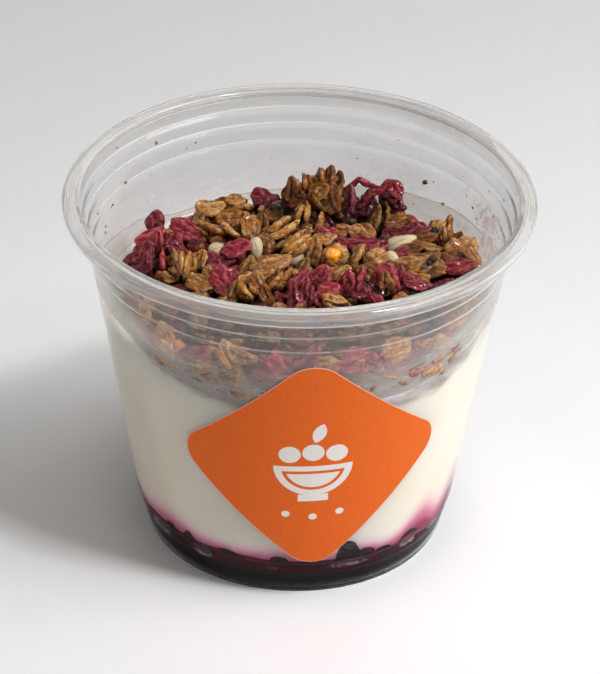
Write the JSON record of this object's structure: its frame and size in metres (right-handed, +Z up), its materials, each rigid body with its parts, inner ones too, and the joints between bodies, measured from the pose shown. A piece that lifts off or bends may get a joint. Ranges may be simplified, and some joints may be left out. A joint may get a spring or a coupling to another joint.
{
  "type": "yogurt cup",
  "caption": "Squat clear plastic dessert cup with berry compote at the foot, plain yogurt above it, a heap of granola on top and a turned square label in front.",
  "frame": {"origin": "middle of the foot, on the plane that the cup stands on", "axes": "+Z up along the cup's axis, out of the open rim; the label is centred on -Y; +X is to the right of someone facing the label"},
  "size_m": [0.092, 0.092, 0.0743],
  "materials": {
    "clear_plastic": "clear, glossy, thin moulded plastic",
    "compote": "dark, wet, nearly black red",
    "yogurt": "smooth cream white, soft sheen",
    "granola": "baked oat flakes, brown and crimson, slightly glazed",
    "label_paper": "matt printed sticker"
  },
  "bodies": {
    "root": {"cup": "clear_plastic", "compote": "compote", "yogurt": "yogurt", "granola": "granola", "label": "label_paper"}
  },
  "joints": []
}
